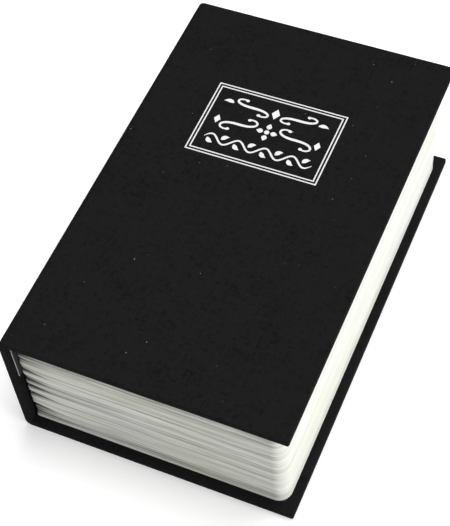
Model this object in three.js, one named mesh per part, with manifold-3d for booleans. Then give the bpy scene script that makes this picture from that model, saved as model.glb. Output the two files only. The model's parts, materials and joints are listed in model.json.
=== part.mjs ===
// Book diversion safe: a hardcover case around a moulded page block that holds a locking steel box.
// Millimetres, +Z up. X runs from the spine to the fore edge, Y from the tail to the head.
// The closed book lies on its back cover. The origin is the middle of its footprint, at the bottom.

import * as THREE from 'three';
import { mergeVertices } from 'three/addons/utils/BufferGeometryUtils.js';
import Module from 'manifold-3d';

const wasm = await Module();
wasm.setup();

// Driving dimensions of the book case
const bookLength = 180;
const bookWidth = 112;
const bookHeight = 60;
const clothThickness = 0.35;
const boardThickness = 2.1;
const endpaperThickness = 0.2;
const turnInWidth = 12;
const boardEdgeRadius = 0.6;
const endEdgeEase = 0.1;
const foldRadius = 3;
const jointLead = 0.6;
const endpaperMargin = 4.5;
const guardThickness = 0.5;
const guardEndInset = 2.3;
const guardDrop = 22;
const headTailSquare = 3.4;
const foreSquare = 3.5;

// The line that the front cover turns about, from the spine's outer face and from the top
const coverAxisInset = 1.8;
const coverAxisDrop = 1.6;

// Driving dimensions of the page block moulding
const coverGap = 0.3;
const blockWall = 2.4;
const blockFloor = 1.6;
const blockForeRadius = 5.5;
const blockSpineRadius = 1.2;
const blockEdgeRadius = 0.5;
const grooveDepth = 0.35;
const grooveHalfWidth = 0.4;
const notchDepth = 0.5;
const notchRun = 0.8;
const notchTaper = 11;
const blockRibWidth = 1.6;
const blockRibPitch = 36;
const ribTopDrop = 1;

// Driving dimensions of the steel box and its lid
const sheetThickness = 0.8;
const lidRecess = 2.7;
const lidBlockGap = 0.6;
const lidCornerRadius = 2.5;
const lidBendRadius = 1.6;
const lidSkirtDepth = 8;
const skirtTrayGap = 0.5;
const lidTrayGap = 0.3;
const trayCornerRadius = 3;
const linerThickness = 2;
const linerGap = 0.5;
const linerCornerRadius = 2.5;

// Driving dimensions of the rolled hinge of the lid
const pinRadius = 1.1;
const fitGap = 0.3;
const hingeWallDistance = 5;
const hingeEndInset = 2.5;
const hingeEndGap = 0.8;
const knuckleCount = 9;
const knuckleGap = 0.4;
const leafWidth = 12;
const pinOverhang = 0.3;
const curlAngle = THREE.MathUtils.degToRad(285);

// Driving dimensions of the cam lock
const lockInset = 22.4;
const lockBodyRadius = 8;
const lockBodyFlatDepth = 1;
const lockBodyWall = 2.5;
const lockBodyLength = 16;
const lockFlangeOverhang = 2;
const lockFlangeHeight = 1.8;
const lockFlangeRounding = 0.5;
const nutWall = 2;
const nutThickness = 3;
const plugFaceDrop = 0.2;
const keywayInset = 2;
const keywayWidth = 1.5;
const keywayDepth = 9;
const tailWidth = 6;
const tailDrop = 0.3;
const stopRimThickness = 0.7;
const stopWasherThickness = 1;
const stopTabLength = 2.5;
const stopTabWidth = 4;
const camThickness = 2;
const camWallGap = 2.4;
const camTipRadius = 5;
const camScrewHeadRadius = 4;
const camScrewHeadHeight = 2.2;
const camScrewRadius = 1.7;
const camScrewLength = 7;
const lockTravel = THREE.MathUtils.degToRad(90);

// Driving dimensions of the strike that the cam turns under
const strikeThickness = 1.2;
const strikeOverlap = 7.4;
const strikeWidth = 20;
const strikeHeight = 11;
const strikeCamGap = 0.4;
const strikeBendRadius = 1.5;

// Driving dimensions of the screws that hold the box and the page block to the back board
const screwHeadRadius = 3.5;
const screwHeadHeight = 1.6;
const screwRadius = 1.5;
const screwTipCover = 0.55;
const screwInsetX = 12;
const screwInsetY = 16;
const screwHeadGap = 0.8;
const screwSlotWidth = 0.8;
const screwSlotDepth = 0.7;

// One overrun serves every cut, and primitives snap to a fine grid so that touching faces agree
const overrun = 5;
const snapStep = 0.0001;

// Each moulded groove: its share of the page block's height, from the foot, its share of the full
// depth, and the share of the notch that it deepens into at the spine
const grooveShares = [
  [0.03, 0.6, 0.2], [0.06, 0.8, 0.5], [0.09, 0.9, 0.3], [0.12, 0.7, 0.6], [0.18, 0.9, 1], [0.26, 0.4, 0.2],
  [0.33, 0.7, 0.7], [0.39, 0.5, 0.9], [0.45, 0.8, 1], [0.51, 0.7, 0.8], [0.57, 0.9, 1], [0.61, 0.5, 0.7],
  [0.72, 0.8, 0.9], [0.755, 0.6, 0.7], [0.84, 0.8, 0.8], [0.895, 1, 1], [0.93, 0.9, 0.7], [0.965, 0.6, 0.3],
];

// Planes of the closed book that several pieces share
const spineX = -bookWidth / 2;
const foreX = bookWidth / 2;
const endY = bookLength / 2;
const coverThickness = clothThickness + boardThickness + clothThickness;
const endEdgeRadius = boardEdgeRadius - endEdgeEase;
const coverAxisX = spineX + coverAxisInset;
const coverAxisZ = bookHeight - coverAxisDrop;
const boardOuter = clothThickness;
const boardInner = clothThickness + boardThickness;
const backFaceZ = coverThickness + endpaperThickness;
const frontFaceZ = bookHeight - coverThickness - endpaperThickness;
const jointStartZ = bookHeight - foldRadius - jointLead;
const jointEndX = spineX + foldRadius + jointLead;
const guardFaceX = spineX + coverThickness + guardThickness;
const blockX0 = guardFaceX + coverGap;
const blockX1 = foreX - foreSquare;
const blockY = endY - headTailSquare;
const blockTopZ = frontFaceZ - coverGap;
const blockHeight = blockTopZ - backFaceZ;

// Planes of the steel box
const lidTopZ = blockTopZ - lidRecess;
const lidUnderZ = lidTopZ - sheetThickness;
const lidX1 = blockX1 - blockWall - lidBlockGap;
const lidY = blockY - blockWall - lidBlockGap;
const trayX1 = lidX1 - sheetThickness - skirtTrayGap;
const trayY = lidY - sheetThickness - skirtTrayGap;
const trayTopZ = lidUnderZ - lidTrayGap;
const trayBottomZ = backFaceZ + blockFloor;
const trayFloorZ = trayBottomZ + sheetThickness;
const knuckleRadius = pinRadius + fitGap + sheetThickness;
const hingeX = blockX0 + blockWall + hingeWallDistance;
const hingeZ = lidUnderZ - knuckleRadius;
const trayX0 = hingeX - knuckleRadius + sheetThickness;
const trayInX0 = trayX0 + sheetThickness;
const trayInX1 = trayX1 - sheetThickness;
const trayInY = trayY - sheetThickness;
const lidX0 = hingeX + knuckleRadius + fitGap;
const leafBottomZ = hingeZ - leafWidth;
const hingeLength = 2 * (trayY - hingeEndInset);
const knucklePitch = hingeLength / knuckleCount;

// Planes of the lock
const lockX = trayInX1 - lockInset;
const lockBodyFlatWidth = 2 * (lockBodyRadius - lockBodyFlatDepth);
const lockFlangeRadius = lockBodyRadius + lockFlangeOverhang;
const plugRadius = lockBodyRadius - lockBodyWall;
const keywayLength = 2 * (plugRadius - keywayInset);
const stopWasherRadius = lockBodyRadius - stopRimThickness - fitGap;
const camReach = lockInset - camWallGap;
const strikeReach = camWallGap + strikeOverlap;
const lockBodyBottomZ = lidTopZ - lockBodyLength;
const plugShoulderZ = lockBodyBottomZ - tailDrop;
const camTopZ = plugShoulderZ - stopWasherThickness;
const camBottomZ = camTopZ - camThickness;
const strikeUnderZ = camTopZ + strikeCamGap;

const screwPlaces = [-1, 1].flatMap((sideX) => [-1, 1].map((sideY) => [
  sideX < 0 ? trayInX0 + screwInsetX : trayInX1 - screwInsetX,
  sideY * (trayInY - screwInsetY),
]));

// Fineness of round shapes
const arcSegments = 6;
const curlSegments = 18;
const roundSegments = 32;
const boreSegments = 16;
const bevelSegments = 2;
const hexSides = 6;

// A geometry whose points sit on the snapping grid, with shared points merged
function snapped(geometry) {
  const bare = geometry.index ? geometry.toNonIndexed() : geometry.clone();
  bare.deleteAttribute('normal');
  bare.deleteAttribute('uv');
  const points = bare.attributes.position;
  for (let i = 0; i < points.array.length; i += 1) {
    points.array[i] = Math.round(points.array[i] / snapStep) * snapStep;
  }
  return mergeVertices(bare, snapStep / 2);
}

// A solid for joining and cutting, made from any closed geometry
function solid(geometry) {
  const merged = snapped(geometry);
  return new wasm.Manifold(new wasm.Mesh({
    numProp: 3,
    vertProperties: new Float32Array(merged.attributes.position.array),
    triVerts: new Uint32Array(merged.index.array),
  }));
}

// The geometry of a finished solid
function geometryOf(body) {
  const mesh = body.getMesh();
  const geometry = new THREE.BufferGeometry();
  geometry.setAttribute('position', new THREE.BufferAttribute(mesh.vertProperties, 3));
  geometry.setIndex(new THREE.BufferAttribute(mesh.triVerts, 1));
  geometry.computeVertexNormals();
  return geometry;
}

// Points along an arc about a centre, from one angle through a signed sweep
function arcPoints(centre, radius, from, sweep, segments) {
  return Array.from({ length: segments + 1 }, (_, i) => {
    const angle = from + (sweep * i) / segments;
    return new THREE.Vector2(centre.x + radius * Math.cos(angle), centre.y + radius * Math.sin(angle));
  });
}

// A closed outline through corner points, each square corner rounded by its own radius
function roundedOutline(corners) {
  const points = corners.flatMap(([x, y, radius], i) => {
    const here = new THREE.Vector2(x, y);
    if (!radius) return [here];
    const [px, py] = corners[(i + corners.length - 1) % corners.length];
    const [nx, ny] = corners[(i + 1) % corners.length];
    const back = new THREE.Vector2(px, py).sub(here).normalize();
    const ahead = new THREE.Vector2(nx, ny).sub(here).normalize();
    const centre = here.clone().addScaledVector(back, radius).addScaledVector(ahead, radius);
    const sweep = back.cross(ahead) > 0 ? -Math.PI / 2 : Math.PI / 2;
    return arcPoints(centre, radius, ahead.negate().angle(), sweep, arcSegments);
  });
  return new THREE.Shape(points);
}

// A rectangle in plan: both spine-side corners share one radius, both fore corners another
function planRectangle(x0, x1, halfY, spineRadius = 0, foreRadius = spineRadius) {
  return roundedOutline([
    [x0, -halfY, spineRadius],
    [x1, -halfY, foreRadius],
    [x1, halfY, foreRadius],
    [x0, halfY, spineRadius],
  ]);
}

// A prism between two heights, drawn in plan; bevel rounds its top and bottom edges
function upright(shape, z0, z1, bevel = 0) {
  const geometry = new THREE.ExtrudeGeometry(shape, {
    depth: z1 - z0 - 2 * bevel,
    bevelEnabled: bevel > 0,
    bevelThickness: bevel,
    bevelSize: bevel,
    bevelOffset: -bevel,
    bevelSegments,
  });
  geometry.translate(0, 0, z0 + bevel);
  return geometry;
}

// A prism along Y, drawn in the X and Z plane; bevel rounds the edges of its two ends
function lengthwise(shape, y0, y1, bevel = 0) {
  const geometry = upright(shape, -y1, -y0, bevel);
  geometry.rotateX(Math.PI / 2);
  return geometry;
}

function block(x0, x1, y0, y1, z0, z1) {
  const geometry = new THREE.BoxGeometry(x1 - x0, y1 - y0, z1 - z0);
  geometry.translate((x0 + x1) / 2, (y0 + y1) / 2, (z0 + z1) / 2);
  return solid(geometry);
}

// A round rod, boss or bore between two heights
function rod(x, y, radius, z0, z1, sides = roundSegments) {
  const geometry = new THREE.CylinderGeometry(radius, radius, z1 - z0, sides);
  geometry.rotateX(Math.PI / 2);
  geometry.translate(x, y, (z0 + z1) / 2);
  return solid(geometry);
}

// A turned piece about an upright axis, from a profile of radius and height
function turned(x, y, profile, sides = roundSegments) {
  const points = profile.map(([radius, z]) => new THREE.Vector2(radius, z));
  const geometry = new THREE.LatheGeometry(points, sides);
  geometry.rotateX(Math.PI / 2);
  geometry.translate(x, y, 0);
  return solid(geometry);
}

function joined(parts) {
  return parts.reduce((whole, part) => whole.add(part));
}

// One clearance bore for each screw that holds the box, between two heights
function screwBores(z0, z1, radius = screwRadius + fitGap) {
  return joined(screwPlaces.map(([x, y]) => rod(x, y, radius, z0, z1, boreSegments)));
}

// The case in section: a strip that runs round the back, the spine and the front of the book,
// between two depths below its outer face, and ends at one distance from the fore edge
function caseSection(outer, inner, foreInset, edgeRadius = 0) {
  const fold = Math.max(foldRadius - outer, 0);
  const end = foreX - foreInset;
  return roundedOutline([
    [spineX + outer, outer, fold],
    [end, outer, edgeRadius],
    [end, inner, edgeRadius],
    [spineX + inner, inner, 0],
    [spineX + inner, bookHeight - inner, 0],
    [end, bookHeight - inner, edgeRadius],
    [end, bookHeight - outer, edgeRadius],
    [spineX + outer, bookHeight - outer, fold],
  ]);
}

// The whole covering before it is parted at the front joint: one sheet turned in over the boards
function covering() {
  const body = solid(lengthwise(
    caseSection(0, coverThickness, 0, boardEdgeRadius), -endY, endY, endEdgeRadius,
  ));
  const boards = solid(lengthwise(
    caseSection(boardOuter, boardInner, clothThickness), clothThickness - endY, endY - clothThickness,
  ));
  const windowY = endY - turnInWidth;
  const window = solid(lengthwise(
    caseSection(boardInner, coverThickness + overrun, turnInWidth), -windowY, windowY,
  ));
  return body.subtract(boards).subtract(window);
}

const pastX = bookWidth + overrun;
const pastY = bookLength + overrun;
const sheet = covering();
const jointSpace = block(-pastX, jointEndX, -pastY, pastY, jointStartZ, pastX);
const frontSpace = block(jointEndX, pastX, -pastY, pastY, bookHeight / 2, pastX);
const boardY = endY - clothThickness;

function caseCloth() {
  return sheet.subtract(jointSpace).subtract(frontSpace);
}

function jointCloth() {
  return sheet.intersect(jointSpace);
}

function frontCloth() {
  return sheet.intersect(frontSpace);
}

function backBoard() {
  const board = block(spineX + foldRadius, foreX - clothThickness, -boardY, boardY, boardOuter, boardInner);
  return board.subtract(screwBores(boardOuter + screwTipCover - fitGap, boardInner + overrun));
}

function spineBoard() {
  return block(spineX + boardOuter, spineX + boardInner, -boardY, boardY, foldRadius, jointStartZ);
}

function frontBoard() {
  return block(
    jointEndX, foreX - clothThickness, -boardY, boardY, bookHeight - boardInner, bookHeight - boardOuter,
  );
}

// A pasted-down sheet: its face lies over the turned-in cloth, and its middle is pressed down to
// the board inside it
const endpaperY = endY - endpaperMargin;
const pressedY = endY - turnInWidth;

function backEndpaper() {
  const start = spineX + foldRadius;
  const face = block(start, foreX - endpaperMargin, -endpaperY, endpaperY, coverThickness, backFaceZ);
  const pressed = block(start, foreX - turnInWidth, -pressedY, pressedY, boardInner, coverThickness);
  return face.add(pressed).subtract(screwBores(0, backFaceZ + overrun));
}

function frontEndpaper() {
  const faceTopZ = bookHeight - coverThickness;
  const face = block(
    jointEndX, foreX - endpaperMargin, -endpaperY, endpaperY, frontFaceZ, faceTopZ,
  );
  const pressed = block(
    jointEndX, foreX - turnInWidth, -pressedY, pressedY, faceTopZ, bookHeight - boardInner,
  );
  return face.add(pressed);
}

// The strip of the endpaper that is pasted down inside the spine
function spineGuard() {
  const guardY = endY - guardEndInset;
  const lowZ = jointStartZ - guardDrop;
  const face = block(spineX + coverThickness, guardFaceX, -guardY, guardY, lowZ, jointStartZ);
  const pressed = block(
    spineX + boardInner, spineX + coverThickness, -pressedY, pressedY, lowZ, jointStartZ,
  );
  return face.add(pressed);
}

// The bend of the endpaper between the guard and the front cover
function jointPaper() {
  const x0 = spineX + coverThickness;
  const legX = x0 + guardThickness / 2;
  const topZ = bookHeight - coverThickness;
  const section = roundedOutline([
    [x0, jointStartZ, 0],
    [legX, jointStartZ, 0],
    [legX, frontFaceZ, 0],
    [jointEndX, frontFaceZ, 0],
    [jointEndX, topZ, 0],
    [x0, topZ, 0],
  ]);
  return solid(lengthwise(section, -endpaperY, endpaperY));
}

// One level of the page block's wall: its plan outline, drawn in by an inset. At the spine it is
// drawn in further by a notch, which runs round the corners and tapers out along head and tail.
function blockRing(inset, notch) {
  const runX = blockX0 + blockSpineRadius + notchRun;
  const spineInset = inset + notch;
  const cornerX = blockX0 + spineInset;
  const cornerY = blockY - spineInset;
  const cornerRadius = blockSpineRadius - spineInset;
  const sideY = blockY - inset;
  const outline = roundedOutline([
    [cornerX, -cornerY, cornerRadius],
    [runX, -cornerY, 0],
    [runX + notchTaper, -sideY, 0],
    [blockX1 - inset, -sideY, blockForeRadius - inset],
    [blockX1 - inset, sideY, blockForeRadius - inset],
    [runX + notchTaper, sideY, 0],
    [runX, cornerY, 0],
    [cornerX, cornerY, cornerRadius],
  ]);
  return outline.getPoints();
}

// A closed solid through a stack of rings that have the same number of points. Each end is a fan
// about its middle, so that points along a straight run keep their faces.
function lofted(levels) {
  const rings = levels.map(([z, inset, notch]) => (
    blockRing(inset, notch).map((p) => new THREE.Vector3(p.x, p.y, z))
  ));
  const count = rings[0].length;
  const faces = [];
  rings.slice(1).forEach((upper, level) => {
    const base = level * count;
    upper.forEach((_, i) => {
      const next = (i + 1) % count;
      faces.push(base + i, base + next, base + count + next);
      faces.push(base + i, base + count + next, base + count + i);
    });
  });
  const top = (rings.length - 1) * count;
  const middleX = (blockX0 + blockX1) / 2;
  const middles = [levels[0], levels.at(-1)].map(([z]) => new THREE.Vector3(middleX, 0, z));
  const footMiddle = rings.length * count;
  const topMiddle = footMiddle + 1;
  rings[0].forEach((_, i) => {
    const next = (i + 1) % count;
    faces.push(footMiddle, next, i);
    faces.push(topMiddle, top + i, top + next);
  });
  const geometry = new THREE.BufferGeometry().setFromPoints([...rings.flat(), ...middles]);
  geometry.setIndex(faces);
  return solid(geometry);
}

// Levels of the moulded wall: soft edges at foot and top, and a groove at each share of its height
function blockLevels() {
  const grooves = grooveShares.flatMap(([heightShare, depthShare, notchShare]) => {
    const z = backFaceZ + heightShare * blockHeight;
    return [
      [z - grooveHalfWidth, 0, 0],
      [z, depthShare * grooveDepth, notchShare * notchDepth],
      [z + grooveHalfWidth, 0, 0],
    ];
  });
  return [
    [backFaceZ, blockEdgeRadius, 0],
    [backFaceZ + blockEdgeRadius, 0, 0],
    ...grooves,
    [blockTopZ - blockEdgeRadius, 0, 0],
    [blockTopZ, blockEdgeRadius, 0],
  ];
}

// Upright ribs inside the moulding that keep the steel box in place
function blockRibs() {
  const inX0 = blockX0 + blockWall;
  const inX1 = blockX1 - blockWall;
  const inY = blockY - blockWall;
  const topZ = leafBottomZ - ribTopDrop;
  const lowZ = backFaceZ + blockFloor / 2;
  const root = blockWall / 2;
  const ribs = [];
  const alongY = Math.floor((inY - trayCornerRadius) / blockRibPitch);
  for (let i = -alongY; i <= alongY; i += 1) {
    const y = i * blockRibPitch;
    const y0 = y - blockRibWidth / 2;
    const y1 = y + blockRibWidth / 2;
    ribs.push(block(inX0 - root, trayX0 - fitGap, y0, y1, lowZ, topZ));
    ribs.push(block(trayX1 + fitGap, inX1 + root, y0, y1, lowZ, topZ));
  }
  const middleX = (trayX0 + trayX1) / 2;
  const alongX = Math.floor(((trayX1 - trayX0) / 2 - trayCornerRadius) / blockRibPitch);
  for (let i = -alongX; i <= alongX; i += 1) {
    const x0 = middleX + i * blockRibPitch - blockRibWidth / 2;
    const x1 = x0 + blockRibWidth;
    ribs.push(block(x0, x1, trayY + fitGap, inY + root, lowZ, topZ));
    ribs.push(block(x0, x1, -inY - root, -trayY - fitGap, lowZ, topZ));
  }
  return joined(ribs);
}

function pageBlock() {
  const hollow = solid(upright(
    planRectangle(
      blockX0 + blockWall, blockX1 - blockWall, blockY - blockWall,
      Math.max(blockSpineRadius - blockWall, 0), Math.max(blockForeRadius - blockWall, 0),
    ),
    backFaceZ + blockFloor, blockTopZ + overrun,
  ));
  const body = lofted(blockLevels()).subtract(hollow).add(blockRibs());
  return body.subtract(screwBores(0, trayBottomZ + overrun));
}

// The folded steel box: its hinge side is cut down under the hinge
function safeTray() {
  const outer = solid(upright(
    planRectangle(trayX0, trayX1, trayY, trayCornerRadius), trayBottomZ, trayTopZ,
  ));
  const inner = solid(upright(
    planRectangle(trayInX0, trayInX1, trayInY, trayCornerRadius - sheetThickness), trayFloorZ, pastX,
  ));
  const hingeCut = block(
    trayX0 - overrun, trayInX0 + sheetThickness,
    -hingeLength / 2 - hingeEndGap, hingeLength / 2 + hingeEndGap,
    hingeZ - knuckleRadius - fitGap, pastX,
  );
  return outer.subtract(inner).subtract(hingeCut).subtract(screwBores(0, trayFloorZ + overrun));
}

// A rolled leaf in section about its pin: its flat leaves the top of the barrel along +X, or hangs
// from the barrel's spine side. A section with a flat start has no curl.
function leafSection(hanging, flatStart = 0) {
  const outer = knuckleRadius;
  const inner = knuckleRadius - sheetThickness;
  const centre = new THREE.Vector2();
  const top = Math.PI / 2;
  const curl = flatStart > 0
    ? [new THREE.Vector2(flatStart, outer), new THREE.Vector2(flatStart, inner)]
    : [
      ...arcPoints(centre, outer, top, curlAngle, curlSegments),
      ...arcPoints(centre, inner, top + curlAngle, -curlAngle, curlSegments),
    ];
  const points = [new THREE.Vector2(leafWidth, outer), ...curl, new THREE.Vector2(leafWidth, inner)];
  return new THREE.Shape(hanging ? points.map((p) => new THREE.Vector2(-p.y, -p.x)) : points);
}

// A whole leaf along the hinge line: a knuckle on every other pitch, and a plain flat between them
function rolledLeaf(firstKnuckle, hanging) {
  const half = hingeLength / 2;
  const flat = leafSection(hanging, knuckleRadius + fitGap);
  let leaf = solid(lengthwise(flat, -half, half));
  for (let i = firstKnuckle; i < knuckleCount; i += 2) {
    const start = i === 0 ? -half : i * knucklePitch - half + knuckleGap / 2;
    const finish = i === knuckleCount - 1 ? half : (i + 1) * knucklePitch - half - knuckleGap / 2;
    leaf = leaf.add(solid(lengthwise(leafSection(hanging), start, finish)));
  }
  return leaf;
}

// The leaf on the lid, in the lid's own frame about the hinge line
function lidHingeLeaf() {
  return rolledLeaf(1, false);
}

// The leaf on the box hangs down the outside of its wall
function trayHingeLeaf() {
  return rolledLeaf(0, true).translate([hingeX, 0, hingeZ]);
}

function hingePin() {
  const half = hingeLength / 2 + pinOverhang;
  const dome = pinRadius / 2;
  const geometry = new THREE.LatheGeometry([
    new THREE.Vector2(0, -half),
    new THREE.Vector2(pinRadius - dome, -half),
    new THREE.Vector2(pinRadius, dome - half),
    new THREE.Vector2(pinRadius, half - dome),
    new THREE.Vector2(pinRadius - dome, half),
    new THREE.Vector2(0, half),
  ], boreSegments);
  geometry.translate(hingeX, 0, hingeZ);
  return solid(geometry);
}

// Pieces of the lid are drawn about the hinge line, which is the origin of the lid's group
const lidTop = lidTopZ - hingeZ;
const lidUnder = lidUnderZ - hingeZ;
const lockAxis = lockX - hingeX;
const lidStart = lidX0 - hingeX;
const lidEnd = lidX1 - hingeX;

// A round bore or boss with two flats, as the lock's body and its hole in the lid have
function doubleFlat(radius, flatWidth, z0, z1) {
  const flats = block(
    lockAxis - flatWidth / 2, lockAxis + flatWidth / 2, -radius - overrun, radius + overrun, z0, z1,
  );
  return rod(lockAxis, 0, radius, z0, z1).intersect(flats);
}

function lidPanel() {
  const low = lidTop - lidSkirtDepth;
  const outer = solid(upright(
    planRectangle(lidStart - overrun, lidEnd, lidY, 0, lidCornerRadius),
    low - overrun, lidTop, lidBendRadius,
  ));
  const inner = solid(upright(
    planRectangle(
      lidStart - 2 * overrun, lidEnd - sheetThickness, lidY - sheetThickness, 0,
      lidCornerRadius - sheetThickness,
    ),
    low - 2 * overrun, lidUnder, lidBendRadius - sheetThickness,
  ));
  const kept = block(lidStart, pastX, -pastY, pastY, low, pastX);
  const hole = doubleFlat(
    lockBodyRadius + fitGap, lockBodyFlatWidth + 2 * fitGap, lidUnder - overrun, lidTop + overrun,
  );
  return outer.subtract(inner).intersect(kept).subtract(hole);
}

// The lock's body ends in a thin rim that stops the washer's tab at both ends of the key's turn
function lockBody() {
  const bore = plugRadius + fitGap;
  const flangeTop = lidTop + lockFlangeHeight;
  const flange = turned(lockAxis, 0, [
    [bore, lidTop],
    [lockFlangeRadius, lidTop],
    [lockFlangeRadius, flangeTop - lockFlangeRounding],
    [lockFlangeRadius - lockFlangeRounding, flangeTop],
    [bore, flangeTop],
    [bore, lidTop],
  ]);
  const rimBottom = camTopZ + fitGap - hingeZ;
  const rimRoot = lockBodyBottomZ - hingeZ;
  const rimRadius = stopWasherRadius + fitGap;
  const tabAngle = Math.asin((stopTabWidth / 2 + fitGap) / rimRadius);
  const centre = new THREE.Vector2(lockAxis, 0);
  const sweep = arcPoints(
    centre, lockBodyRadius + overrun, -tabAngle, lockTravel + 2 * tabAngle, arcSegments,
  );
  const window = solid(upright(new THREE.Shape([centre, ...sweep]), rimBottom - overrun, rimRoot));
  const barrel = doubleFlat(lockBodyRadius, lockBodyFlatWidth, rimBottom, lidTop);
  const hole = rod(lockAxis, 0, bore, rimBottom - overrun, flangeTop + overrun);
  const washerSpace = rod(lockAxis, 0, rimRadius, rimBottom - overrun, rimRoot);
  return flange.add(barrel).subtract(hole).subtract(washerSpace).subtract(window);
}

function lockNut() {
  const cornerRadius = (lockBodyRadius + nutWall) / Math.cos(Math.PI / hexSides);
  const nut = rod(lockAxis, 0, cornerRadius, lidUnder - nutThickness, lidUnder, hexSides);
  return nut.subtract(rod(
    lockAxis, 0, lockBodyRadius + fitGap, lidUnder - nutThickness - overrun, lidUnder + overrun,
  ));
}

// Pieces that turn with the key are drawn about the lock's axis, at their heights in the closed book
function lockPlug() {
  const faceZ = lidTopZ + lockFlangeHeight - plugFaceDrop;
  const round = rod(0, 0, plugRadius, plugShoulderZ, faceZ);
  const half = tailWidth / 2;
  const tail = block(-half, half, -half, half, camBottomZ, plugShoulderZ + overrun / 2);
  const keyway = block(
    -keywayWidth / 2, keywayWidth / 2, -keywayLength / 2, keywayLength / 2,
    faceZ - keywayDepth, faceZ + overrun,
  );
  const screwHole = rod(
    0, 0, camScrewRadius + fitGap, camBottomZ - overrun, camBottomZ + camScrewLength + fitGap,
    boreSegments,
  );
  return round.add(tail).subtract(keyway).subtract(screwHole);
}

function squareHole() {
  const half = tailWidth / 2 + fitGap;
  return block(-half, half, -half, half, camBottomZ - overrun, plugShoulderZ + overrun);
}

function lockStopWasher() {
  const disc = rod(0, 0, stopWasherRadius, camTopZ, plugShoulderZ);
  const tab = block(
    stopWasherRadius - stopTabLength, stopWasherRadius + stopTabLength,
    -stopTabWidth / 2, stopTabWidth / 2, camTopZ, plugShoulderZ,
  );
  return disc.add(tab).subtract(squareHole());
}

// The cam lies along the book at rest, which is unlocked
function lockCam() {
  const camHubRadius = stopWasherRadius;
  const slope = Math.asin((camHubRadius - camTipRadius) / (camReach - camTipRadius));
  const tip = new THREE.Vector2(0, camTipRadius - camReach);
  const outline = new THREE.Shape([
    ...arcPoints(new THREE.Vector2(), camHubRadius, -slope, Math.PI + 2 * slope, boreSegments),
    ...arcPoints(tip, camTipRadius, Math.PI + slope, Math.PI - 2 * slope, boreSegments),
  ]);
  const blade = solid(upright(outline, camBottomZ, camTopZ));
  return blade.subtract(squareHole());
}

function lockCamScrew() {
  const headZ = camBottomZ - camScrewHeadHeight;
  const rounding = camScrewHeadHeight / 3;
  return turned(0, 0, [
    [0, headZ],
    [camScrewHeadRadius - rounding, headZ],
    [camScrewHeadRadius, headZ + rounding],
    [camScrewHeadRadius, camBottomZ],
    [camScrewRadius, camBottomZ],
    [camScrewRadius, camBottomZ + camScrewLength],
    [0, camBottomZ + camScrewLength],
  ], boreSegments);
}

// The bent steel strip on the box's fore wall that the cam turns under
function strikePlate() {
  const inner = Math.max(strikeBendRadius - strikeThickness, 0);
  const section = roundedOutline([
    [trayInX1 - strikeReach, strikeUnderZ, 0],
    [trayInX1, strikeUnderZ, strikeBendRadius],
    [trayInX1, strikeUnderZ + strikeHeight, 0],
    [trayInX1 - strikeThickness, strikeUnderZ + strikeHeight, 0],
    [trayInX1 - strikeThickness, strikeUnderZ + strikeThickness, inner],
    [trayInX1 - strikeReach, strikeUnderZ + strikeThickness, 0],
  ]);
  return solid(lengthwise(section, -strikeWidth / 2, strikeWidth / 2));
}

function trayLiner() {
  const mat = solid(upright(
    planRectangle(
      trayInX0 + linerGap, trayInX1 - linerGap, trayInY - linerGap, linerCornerRadius,
    ),
    trayFloorZ, trayFloorZ + linerThickness,
  ));
  return mat.subtract(screwBores(0, trayFloorZ + overrun, screwHeadRadius + screwHeadGap));
}

function boxScrew(x, y) {
  const headZ = trayFloorZ + screwHeadHeight;
  const rounding = screwHeadHeight / 2;
  const screw = turned(x, y, [
    [0, boardOuter + screwTipCover],
    [screwRadius, boardOuter + screwTipCover + screwRadius / 2],
    [screwRadius, trayFloorZ],
    [screwHeadRadius, trayFloorZ],
    [screwHeadRadius, headZ - rounding],
    [screwHeadRadius - rounding, headZ],
    [0, headZ],
  ], boreSegments);
  const slot = block(
    x - screwSlotWidth / 2, x + screwSlotWidth / 2, y - screwHeadRadius - overrun,
    y + screwHeadRadius + overrun, headZ - screwSlotDepth, headZ + overrun,
  );
  return screw.subtract(slot);
}

function finish(color, roughness, metalness) {
  return new THREE.MeshStandardMaterial({ color, roughness, metalness });
}

const clothFinish = finish(0x212121, 0.8, 0);
const boardFinish = finish(0x9a9184, 0.95, 0);
const paperFinish = finish(0x222223, 0.9, 0);
const pageFinish = finish(0xc9cbc0, 0.6, 0);
const paintedFinish = finish(0x2a2b2d, 0.5, 0.4);
const zincFinish = finish(0xb4b6b8, 0.35, 0.9);
const chromeFinish = finish(0xd0d2d4, 0.15, 1);
const linerFinish = finish(0x2c2a2b, 1, 0);

function piece(name, body, material) {
  const mesh = new THREE.Mesh(geometryOf(body), material);
  mesh.name = name;
  return mesh;
}

const bookSafe = new THREE.Group();

bookSafe.add(
  piece('back_board', backBoard(), boardFinish),
  piece('spine_board', spineBoard(), boardFinish),
  piece('case_cloth', caseCloth(), clothFinish),
  piece('joint_cloth', jointCloth(), clothFinish),
  piece('back_endpaper', backEndpaper(), paperFinish),
  piece('spine_guard', spineGuard(), paperFinish),
  piece('joint_paper', jointPaper(), paperFinish),
  piece('page_block', pageBlock(), pageFinish),
  piece('safe_tray', safeTray(), paintedFinish),
  piece('tray_hinge_leaf', trayHingeLeaf(), zincFinish),
  piece('hinge_pin', hingePin(), zincFinish),
  piece('strike_plate', strikePlate(), zincFinish),
  piece('tray_liner', trayLiner(), linerFinish),
  ...screwPlaces.map(([x, y], i) => piece(`box_screw_${i + 1}`, boxScrew(x, y), zincFinish)),
);

// The front cover turns about the origin of its group, and its pieces are drawn in the closed book
const coverGroup = new THREE.Group();
coverGroup.position.set(coverAxisX, 0, coverAxisZ);
coverGroup.add(
  piece('front_board', frontBoard(), boardFinish),
  piece('front_cloth', frontCloth(), clothFinish),
  piece('front_endpaper', frontEndpaper(), paperFinish),
);
coverGroup.children.forEach((mesh) => mesh.position.copy(coverGroup.position).negate());
bookSafe.add(coverGroup);

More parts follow.
